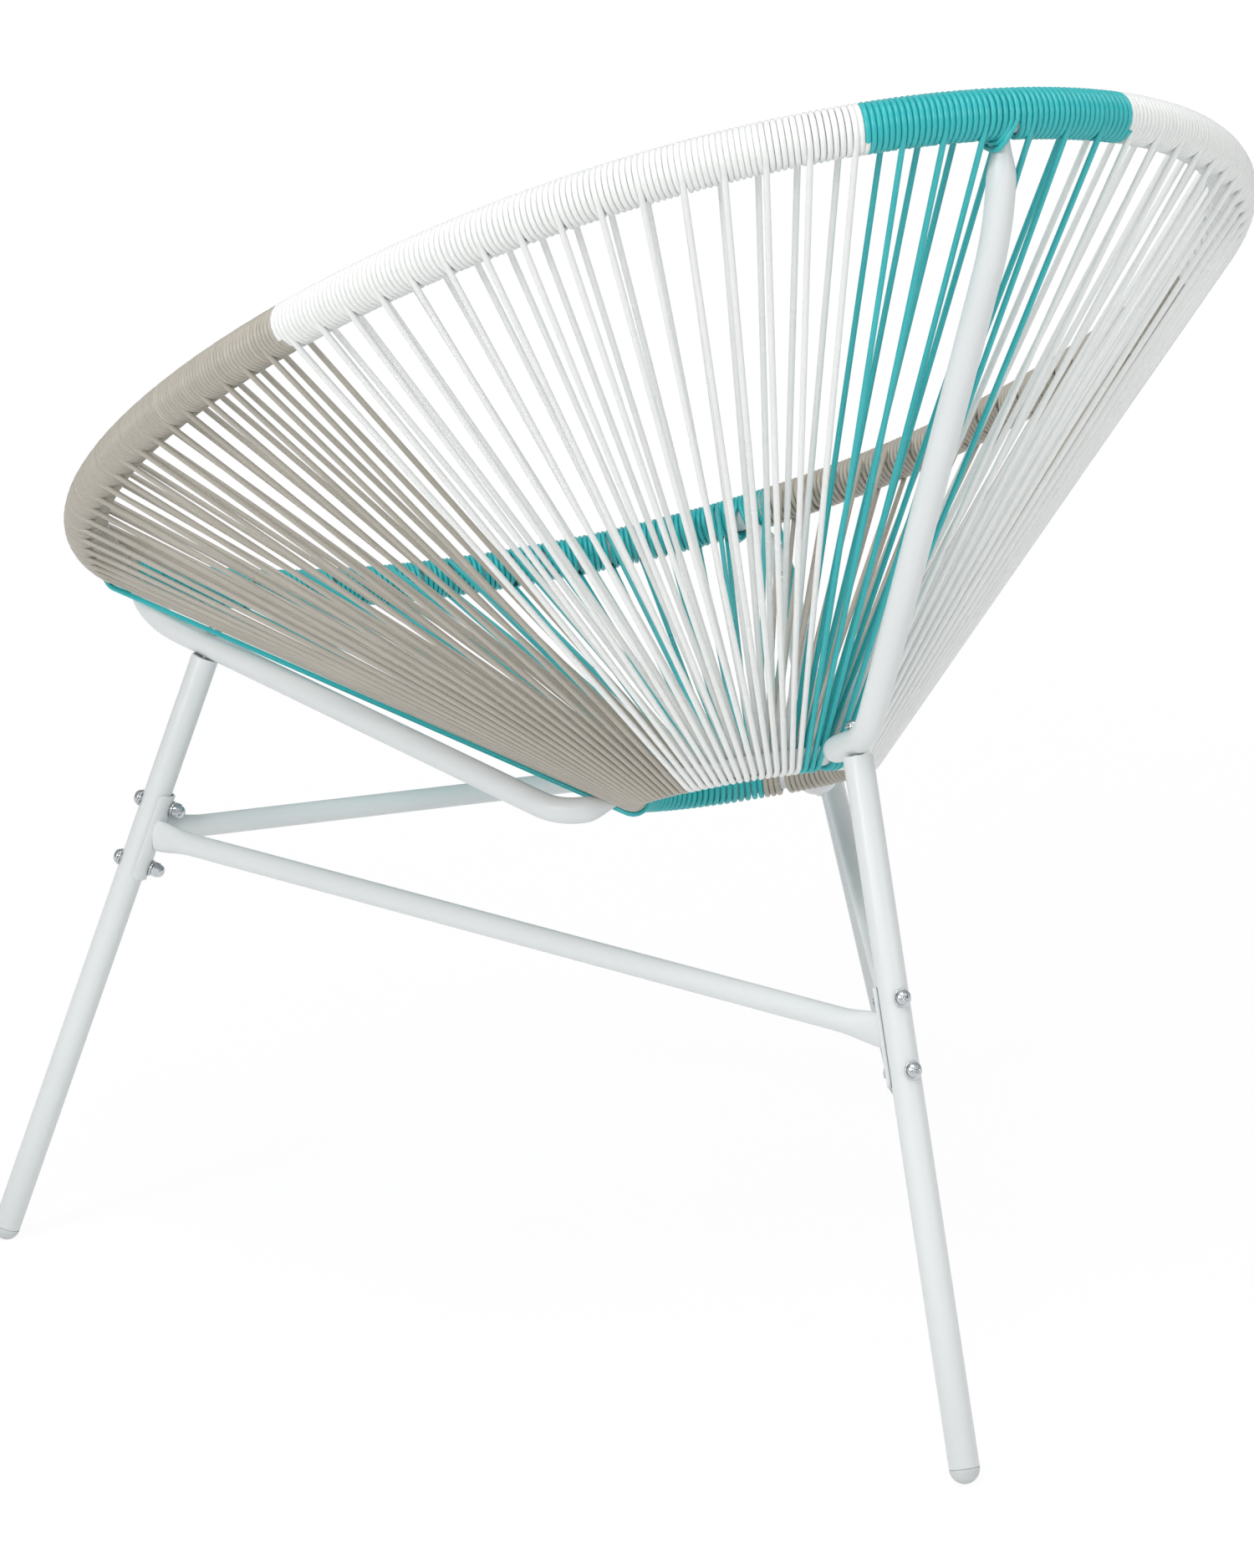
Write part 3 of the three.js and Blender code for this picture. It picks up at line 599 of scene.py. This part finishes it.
def cap_nut():
    """A hex nut with a chamfered skirt and a domed end."""
    flats = hexagon(9.9)

    def chamfer(top):
        return lambda a: np.minimum(flats(a), top)

    profile = [(0.0, 3.4), (0.0, chamfer(5.0)), (0.45, chamfer(5.75)), (4.5, chamfer(5.75)), (4.95, chamfer(5.0)),
               (5.0, 4.75), (5.05, 4.6)]
    profile += [(5.05 + 3.9 * math.sin(a), 4.6 * math.cos(a)) for a in np.radians(np.linspace(8, 88, 9))]
    return turned(profile)


# Each kind's places and the nodes that it stands for
KINDS = ("saddle_bolt", "head_washer", "nut_washer", "cap_nut", "leg_bolt", "leg_bolt_washer")
places, names = {kind: [] for kind in KINDS}, {kind: [] for kind in KINDS}


def put(kind, suffix, origin, axis, across):
    places[kind].append((origin, axis, across))
    names[kind].append(kind + "_" + suffix)


# A bolt's head sits on its washer, and the nut on its own. The hexagons are turned a little, one way and the other.
ON_FACE, ON_WASHER, HEX_TURN = SEAT_GAP, SEAT_GAP + WASHER + SEAT_GAP, 0.4
for name, corner in corners.items():
    axis, inward = corner.axis, corner.inward
    for level, way in (("upper", 1), ("lower", -1)):
        suffix = name + "_" + level
        point = corner.saddle + axis * way * BOLT_OFFSET
        clock = axis * math.cos(HEX_TURN * way) + np.cross(inward, axis) * math.sin(HEX_TURN * way)
        put("head_washer", suffix, point - inward * (LEG_FACE + ON_FACE), -inward, axis)
        put("saddle_bolt", suffix, point - inward * (LEG_FACE + ON_WASHER), -inward, clock)
        put("nut_washer", suffix, point + inward * (SADDLE_OUTER + ON_FACE), inward, axis)
        put("cap_nut", suffix, point + inward * (SADDLE_OUTER + ON_WASHER), inward, clock)
    top = corner.join + axis * (SUPPORT + SEAT_GAP)
    put("leg_bolt_washer", name, top, axis, inward)
    put("leg_bolt", name, top + axis * (WASHER + SEAT_GAP), axis, inward)
for name, shape, kind in (("saddle_bolts", button_bolt(31.0), "saddle_bolt"),
                          ("leg_bolts", button_bolt(36.0), "leg_bolt"),
                          ("saddle_head_washers", washer(), "head_washer"),
                          ("saddle_nut_washers", washer(), "nut_washer"),
                          ("leg_bolt_washers", washer(), "leg_bolt_washer"),
                          ("saddle_cap_nuts", cap_nut(), "cap_nut")):
    fasteners(name, shape, places[kind], names[kind])


# Cord: one length for each colour, wound round the hoop, run to the ring and back, and wound on
def cord_tree():
    tree, given = new_tree("cord_along_path", {"Path": "Geometry", "Sides": "Int", "Finish": "Material"}, "Cord")
    curve = add_node(tree, "GeometryNodeMeshToCurve", inputs={"Mesh": given["Path"]})
    length = add_node(tree, "GeometryNodeSplineParameter")
    marked = add_node(tree, "GeometryNodeStoreNamedAttribute", {"data_type": "FLOAT", "domain": "POINT"},
                      {"Geometry": curve.outputs["Curve"], "Name": "along_cord", "Value": length.outputs["Length"]})
    width = add_node(tree, "GeometryNodeInputNamedAttribute", {"data_type": "FLOAT"}, {"Name": "cord_width"})
    section = add_node(tree, "GeometryNodeCurvePrimitiveCircle", inputs={"Resolution": given["Sides"], "Radius": 0.5})
    skin = add_node(tree, "GeometryNodeCurveToMesh",
                    inputs={"Curve": marked.outputs["Geometry"], "Profile Curve": section.outputs["Curve"],
                            "Scale": width.outputs["Attribute"], "Fill Caps": True})
    soft = add_node(tree, "GeometryNodeSetShadeSmooth", inputs={"Geometry": skin.outputs["Mesh"]})
    real = add_node(tree, "GeometryNodeRealizeInstances", inputs={"Geometry": soft.outputs["Geometry"]})
    finish = add_node(tree, "GeometryNodeSetMaterial",
                      inputs={"Geometry": real.outputs["Geometry"], "Material": given["Finish"]})
    add_node(tree, "NodeGroupOutput", inputs={"Cord": finish.outputs["Geometry"]})
    return tree


CORD_TREE = cord_tree()


def spread(value, centre, room, reach):
    """Moves a value away from a centre by a room that fades out over a reach."""
    off = value - centre
    if abs(off) >= reach:
        return value
    return centre + math.copysign(room + abs(off) * (reach - room) / reach, off)


# Spokes are counted from the middle of the back towards the sitter's left and on round, and below zero the other
# way. The near ones, up to the last white one, lie as the photograph shows them: the first one's place, their pitch,
# and how far the middle ones bow back from it.
NEAR_LAST, NEAR_FIRST_PLACE, NEAR_PITCH, NEAR_BOW = 18, 18, 25.76, 4.8
# White spokes beside the back teal ones leave the hoop further on: how far, at which spoke, and over how many.
PUSH, PUSH_SPOKE, PUSH_REACH = 4.0, 4.5, 2.2
TEAL_LAST = 2
# So do the front spokes beyond the near support, more and more over six spokes.
FRONT_PUSH, FRONT_FROM, FRONT_TO, FRONT_GROWTH = 7.0, 44, 62, 6
# Strands keep this far from a support's middle, and the ones within reach close up: along the hoop in millimetres,
# and round the ring in degrees.
NECK_ROOM, NECK_REACH = 13.0, 110.0
REAR_HEEL_ROOM, REAR_HEEL_REACH = 4.0, 23.0
FRONT_HEEL_ROOM, FRONT_HEEL_REACH = 1.7, 14.0
FRONT_NECK_TRAVEL = np.interp(FRONT_NECK / 360, _shares, _travel)


def spoke_travel(k, on_hoop=True):
    """Where a spoke leaves the hoop, in millimetres along it, or the same place as the ring sees it."""
    travel = (k + 0.5) * GIRTH / SPOKES
    if 0 <= k <= NEAR_LAST:
        middle = NEAR_LAST / 2
        travel = NEAR_FIRST_PLACE + NEAR_PITCH * k - NEAR_BOW * (1 - ((k - middle) / middle) ** 2)
        if on_hoop and k > TEAL_LAST:
            travel += PUSH * math.exp(-((k - PUSH_SPOKE) / PUSH_REACH) ** 2)
    if FRONT_FROM <= k <= FRONT_TO:
        travel += FRONT_PUSH * min(1, (k - FRONT_FROM + 1) / FRONT_GROWTH)
    for centre in (FRONT_NECK_TRAVEL, GIRTH - FRONT_NECK_TRAVEL):
        travel = spread(travel, centre, NECK_ROOM, NECK_REACH)
    return travel


def spoke_ring_share(k):
    """Where a spoke meets the ring, as a share of it."""
    angle = ((k + 0.5) / SPOKES - RING_LAG) * 360
    if 0 <= k <= NEAR_LAST:
        angle = (spoke_travel(k, False) / GIRTH - RING_LAG) * 360
    if k < 0 and angle < REAR_HEEL:
        angle = spread(angle, REAR_HEEL, REAR_HEEL_ROOM, REAR_HEEL_REACH)
    for centre in (FRONT_HEEL, 360 - FRONT_HEEL, -FRONT_HEEL):
        angle = spread(angle, centre, FRONT_HEEL_ROOM, FRONT_HEEL_REACH)
    return angle / 360


def inner_lag(k):
    """How far the inner strand of a near spoke lies behind its own place on the hoop and the ring."""
    return float(np.interp(k, [7, 13, 18, 22], [0.0, 3.6, 4.4, 0.0]))


def bezier(a, b, c, d, count):
    t = np.linspace(0, 1, count)[:, None]
    return a * (1 - t) ** 3 + b * 3 * t * (1 - t) ** 2 + c * 3 * t * t * (1 - t) + d * t ** 3


def neck_places():
    """Each neck's travel along the hoop and its angle round it, and the side its turns are pulled to, if any."""
    places = []
    for travel, corner, way in ((0.0, corners["rear"], 1), (FRONT_NECK_TRAVEL, corners["left"], 0),
                                (GIRTH - FRONT_NECK_TRAVEL, corners["right"], 0)):
        _, _, inward, outer = frame_at(hoop_frame, travel)
        down = unit(corner.points[1] - corner.points[0])
        places.append((travel, math.atan2(down @ inward, down @ outer), way))
    return places


NECKS = neck_places()
# Turns stay this far from a neck's middle. At the back they are caught from a little before it, and past that place
# the other side's turns close up, less and less over a distance.
HOOK_SIDE, HOOK_FIRST, HOOK_FADE = NECK + CORD / 2 + 0.4, -3.2, 16
# A caught turn is lifted over the ones before it by this share of its pull.
HOOK_LIFT = 0.93


def hook(travel, angle, pitch):
    """Turns that would run through a neck pass beside it, each lower than the last. At the back most of them are
    pulled across its outer face to one side, and the turns on the other side make room."""
    shift, lift = np.zeros(len(travel)), np.zeros(len(travel))
    for centre, neck_angle, one_way in NECKS:
        off = (angle - neck_angle + np.pi) % (2 * np.pi) - np.pi
        at_neck = travel - centre - off / (2 * np.pi) * pitch
        way = one_way or np.where(at_neck < 0, -1, 1)
        place = way * at_neck
        caught = (place > (HOOK_FIRST if one_way else 0)) & (place < HOOK_SIDE)
        pull = 1 - smooth(np.abs(off), math.radians(18), math.radians(84))
        stack = 1 - smooth(np.abs(off), math.radians(16), math.radians(76))
        shift += np.where(caught, way * (HOOK_SIDE - place) * pull, 0)
        lift += np.where(caught, HOOK_LIFT * (HOOK_SIDE - place) * stack, 0)
        if one_way:
            beyond = place <= HOOK_FIRST
            close = (HOOK_SIDE + HOOK_FIRST) * np.exp((place - HOOK_FIRST) / HOOK_FADE)
            shift -= np.where(beyond, way * close * pull, 0)
    return shift, lift


def wraps(travel, angle, pitch):
    """Points on the winding at distances along the hoop and angles round it."""
    shift, lift = hook(travel, angle, pitch)
    centre, _, inward, outer = hoop_frame(travel + shift)
    around = np.cos(angle)[:, None] * outer + np.sin(angle)[:, None] * inward
    return centre + (HOOP_WIND + lift)[:, None] * around


def wrap_point(travel, angle, pitch):
    return wraps(np.array([travel]), np.array([angle]), pitch)[0]


# Points to a turn, the angle before the strands' side at which a strand begins to leave its turn, and how much of
# the gap that it leaves the other turns close
STEPS, LEAVE, CLOSED_GAP = 18, math.radians(24), 0.8


def winding(start, end, first, last, turns):
    """Points of a run of turns whose angles go from first to last (in turns), at an even pitch."""
    count = max(2, int(round((last - first) * STEPS)) + 1)
    u = np.linspace(first, last, count)
    travel = start + (end - start) * u / turns
    turn = np.floor(u + 1e-9)
    local = u - turn
    # On the strands' side there is one turn fewer, so the others close up over its place.
    shift = ((turn - 0.5) * turns / (turns - 1) - turn) * (end - start) / turns if turns > 1 else 0
    lean = np.where(local < 0.5, np.sin(2 * np.pi * local) ** 2, 0)
    lean = np.where((turn > 0) & (turn < turns), lean, 0)
    return wraps(travel + CLOSED_GAP * shift * lean, 2 * np.pi * u, (end - start) / turns)


def beside_bolt(start, end, aside, corner):
    """Where a strand from start to end is held aside by the head of a leg's bolt, if it would run through it."""
    head_height, head_radius = 3.2, 5.4
    head = corner.join + corner.axis * (SUPPORT + SEAT_GAP + head_height)
    way = unit(end - start)
    nearest = start + way * ((head - start) @ way)
    aside = square_to(aside, way)
    gap = nearest - head
    along = gap @ aside
    rest = gap @ gap - along * along
    room = head_radius + CORD / 2
    if gap @ gap >= room ** 2:
        return nearest
    return nearest + aside * (math.sqrt(room ** 2 - rest) - along)


def turn_count(distance):
    """How many whole turns fill a distance along the hoop."""
    return max(1, round(distance / TURN))


# The first and the last spoke of the front sector, how far the two strands of a spoke are apart round the ring, and
# how much of its width a cord rises where it lies over another
FRONT_FIRST, FRONT_LAST = 40, 63
LOOP_STEP, OVER = 2.0, 0.95
# A strand's bends at the hoop: the handle on the turn's side, and from where to where they run beside the edge
BEND, BEND_FROM, BEND_TO = 2.4, 0.4, 5.5
LOOP_STEPS = 10


def strand_pair(k):
    """Down the outer side to the ring, round its hole side, and back up the inner side."""
    travel = spoke_travel(k)
    room = spoke_travel(k + 1) - travel
    pitch = room / turn_count(room)
    near = spoke_ring_share(k)
    lag = inner_lag(k)
    far = near + (LOOP_STEP - lag) / (2 * np.pi * RING_RADIUS)
    # The first and the last strand of the front sector lie over the turns beside them.
    over = CORD * OVER if k in (FRONT_FIRST, FRONT_LAST) else 0
    low = over if k == FRONT_FIRST else 0
    leave = wrap_point(travel - pitch * LEAVE / (2 * np.pi), -LEAVE, pitch)
    centre, tangent, inward, outer = frame_at(hoop_frame, travel)
    edge = centre + (HOOP_WIND + over) * outer
    back_travel = travel + pitch / 2
    back = wrap_point(back_travel + pitch * LEAVE / (2 * np.pi), math.pi + LEAVE, pitch)
    # An inner strand that lags lies over the turns that it crosses.
    b_centre, _, b_inward, b_outer = frame_at(hoop_frame, back_travel - lag)
    b_edge = b_centre - (HOOP_WIND + min(lag / 3, 1) * OVER * CORD) * b_outer
    loop = []
    for i, a in enumerate(np.linspace(0, np.pi, LOOP_STEPS + 1)):
        c, _, o, n = frame_at(ring_frame, near + (far - near) * i / LOOP_STEPS)
        loop.append(c + (RING_WIND + low * (1 - i / LOOP_STEPS)) * (n * math.cos(a) - o * math.sin(a)))
    down, up = unit(loop[0] - edge), unit(b_edge - loop[-1])
    start_way = unit(math.sin(LEAVE) * outer + math.cos(LEAVE) * inward)
    out = bezier(leave, leave + start_way * BEND, edge + down * BEND_FROM, edge + down * BEND_TO, 6)
    if over:
        aside, corner = (-tangent, corners["left"]) if k == FRONT_FIRST else (tangent, corners["right"])
        out = np.vstack([out, beside_bolt(edge, loop[0], aside, corner)])
    end_way = unit(-math.sin(LEAVE) * b_outer - math.cos(LEAVE) * b_inward)
    into = bezier(b_edge - up * BEND_TO, b_edge - up * BEND_FROM, back - end_way * BEND, back, 6)
    return np.vstack([out[1:], loop, into[:-1]])


def cord(name, node, slot, material, first, last, start, end):
    """A colour's cord over its first to last spoke, from where it starts on the hoop to where it ends there."""
    leaving = LEAVE / (2 * np.pi)
    here = spoke_travel(first)
    lead_turns = turn_count(here - start)
    runs = [winding(start, here, 0, lead_turns - leaving, lead_turns)]
    for k in range(first, last + 1):
        runs.append(strand_pair(k))
        travel, after = spoke_travel(k), spoke_travel(k + 1) if k < last else end
        turns = turn_count(after - travel)
        runs.append(winding(travel, after, 0.5 + leaving, turns - (leaving if k < last else 0), turns))
    strand_width = WHITE_CORD if material == WHITE else CORD
    widths = [np.full(len(run), (WOUND, strand_width)[i % 2]) for i, run in enumerate(runs)]
    path = np.concatenate(runs)
    mesh = mesh_from(name, path, [(i, i + 1) for i in range(len(path) - 1)], [])
    mesh.attributes.new("cord_width", "FLOAT", "POINT").data.foreach_set("value", np.concatenate(widths) * MM)
    made = linked(name, mesh)
    grow(made, CORD_TREE, {"Sides": 10, "Finish": material})
    settle(made, [node])


# Where the colours change on the hoop, in spokes from the middle of the back and then along it
SPOKE_PITCH = 26.004
TEAL_END, WHITE_END, TAUPE_END = (spokes * SPOKE_PITCH for spokes in (3.4, 18.8, 40.2))
for place, colour, material, *run in (
        ("back_teal", "teal", TEAL, -3, TEAL_LAST, -TEAL_END, TEAL_END),
        ("white_left", "white", WHITE, TEAL_LAST + 1, NEAR_LAST, TEAL_END, WHITE_END),
        ("taupe_left", "taupe", TAUPE, NEAR_LAST + 1, FRONT_FIRST - 1, WHITE_END, TAUPE_END),
        ("front_teal", "teal", TEAL, FRONT_FIRST, FRONT_LAST, TAUPE_END, GIRTH - TAUPE_END),
        ("taupe_right", "taupe", TAUPE, -40, -20, -TAUPE_END, -WHITE_END),
        ("white_right", "white", WHITE, -19, -4, -WHITE_END, -TEAL_END)):
    cord("cord_" + place, "strands_" + place, "cord_" + colour, material, *run)


# Floor, light and camera
def studio_floor():
    """A white floor that the camera sees glowing, so that it runs into the background with a faint shadow."""
    half, level = 30, -0.0005
    mesh = bpy.data.meshes.new("studio_floor")
    mesh.from_pydata([(-half, -half, level), (half, -half, level), (half, half, level), (-half, half, level)], [],
                     [(0, 1, 2, 3)])
    made = linked("studio_floor", mesh)
    material, tree = new_material("pale_studio_floor", "#F4F4F4")
    ray = add_node(tree, "ShaderNodeLightPath").outputs
    seen = add_node(tree, "ShaderNodeMath", {"operation": "MAXIMUM"},
                    {0: ray["Is Camera Ray"], 1: ray["Is Glossy Ray"]})
    seen = add_node(tree, "ShaderNodeMath", {"operation": "MAXIMUM"},
                    {0: seen.outputs[0], 1: ray["Is Transmission Ray"]})
    share = add_node(tree, "ShaderNodeMath", {"operation": "MULTIPLY"}, {0: seen.outputs[0], 1: 0.88})
    # The lamps light only the middle of the floor, so it glows a little more further out.
    place = add_node(tree, "ShaderNodeTexCoord").outputs["Object"]
    out = add_node(tree, "ShaderNodeVectorMath", {"operation": "LENGTH"}, {0: place})
    strength = add_node(tree, "ShaderNodeMapRange",
                        inputs={"Value": out.outputs["Value"], "From Min": 0.8, "From Max": 5.0, "To Min": 1.04,
                                "To Max": 1.09})
    matt = add_node(tree, "ShaderNodeBsdfDiffuse", inputs={"Color": linear("#F6F6F6")})
    glow = add_node(tree, "ShaderNodeEmission",
                    inputs={"Color": (1, 1, 1, 1), "Strength": strength.outputs["Result"]})
    mixed = add_node(tree, "ShaderNodeMixShader",
                     inputs={0: share.outputs[0], 1: matt.outputs[0], 2: glow.outputs[0]})
    # From below the floor is clear, so the underside can be seen.
    side = add_node(tree, "ShaderNodeNewGeometry").outputs["Backfacing"]
    clear = add_node(tree, "ShaderNodeBsdfTransparent")
    shown = add_node(tree, "ShaderNodeMixShader", inputs={0: side, 1: mixed.outputs[0], 2: clear.outputs[0]})
    add_node(tree, "ShaderNodeOutputMaterial", inputs={"Surface": shown.outputs[0]})
    mesh.materials.append(material)


def studio_world():
    """A soft cool fill on the chair, and pure white where the camera sees past it."""
    world = bpy.data.worlds.new("studio_world")
    bpy.context.scene.world = world
    world.use_nodes = True
    tree = world.node_tree
    tree.nodes.clear()
    ray = add_node(tree, "ShaderNodeLightPath").outputs
    seen = add_node(tree, "ShaderNodeMath", {"operation": "MAXIMUM"},
                    {0: ray["Is Camera Ray"], 1: ray["Is Transmission Ray"]})
    fill = add_node(tree, "ShaderNodeBackground", inputs={"Color": (0.985, 0.995, 1.0, 1), "Strength": 0.46})
    white = add_node(tree, "ShaderNodeBackground", inputs={"Color": (1, 1, 1, 1), "Strength": 1.0})
    mixed = add_node(tree, "ShaderNodeMixShader",
                     inputs={0: seen.outputs[0], 1: fill.outputs[0], 2: white.outputs[0]})
    add_node(tree, "ShaderNodeOutputWorld", inputs={"Surface": mixed.outputs[0]})


def softbox(name, place, width, height, power):
    """A rectangular lamp that faces the middle of the chair."""
    light = bpy.data.lights.new(name, "AREA")
    light.shape = "RECTANGLE"
    light.size, light.size_y = width, height
    light.energy = power
    made = linked(name, light)
    made.location = place
    made.rotation_euler = (Vector((0, 0, 0.5)) - Vector(place)).to_track_quat("-Z", "Y").to_euler()


studio_floor()
studio_world()
softbox("top_softbox", (0.6, 0.9, 3.2), 1.8, 1.8, 30)
softbox("camera_softbox", (1.9, 2.7, 1.9), 0.7, 0.7, 10)
softbox("camera_left_softbox", (3.4, 1.4, 2.0), 0.7, 1.6, 38)
softbox("camera_right_softbox", (-1.4, 3.6, 1.9), 0.8, 1.6, 15)


def photo_camera():
    """The photograph's own view: level horizon, no shift, and a tall frame."""
    focal_pixels, frame_pixels, sensor = 5273.3, 1876, 36
    camera = bpy.data.cameras.new("photo_camera")
    camera.sensor_fit = "VERTICAL"
    camera.sensor_height = sensor
    camera.lens = focal_pixels / frame_pixels * sensor
    camera.clip_end = 100
    made = linked("photo_camera", camera)
    ahead = Vector((-0.44516, -0.86527, -0.23052)).normalized()
    right = ahead.cross(Vector((0, 0, 1))).normalized()
    turn = Matrix((right, right.cross(ahead), -ahead)).transposed()
    made.matrix_world = Matrix.Translation((1.3758, 2.6348, 1.0660)) @ turn.to_4x4()
    bpy.context.scene.camera = made


photo_camera()
bpy.context.scene.view_settings.view_transform = "Standard"
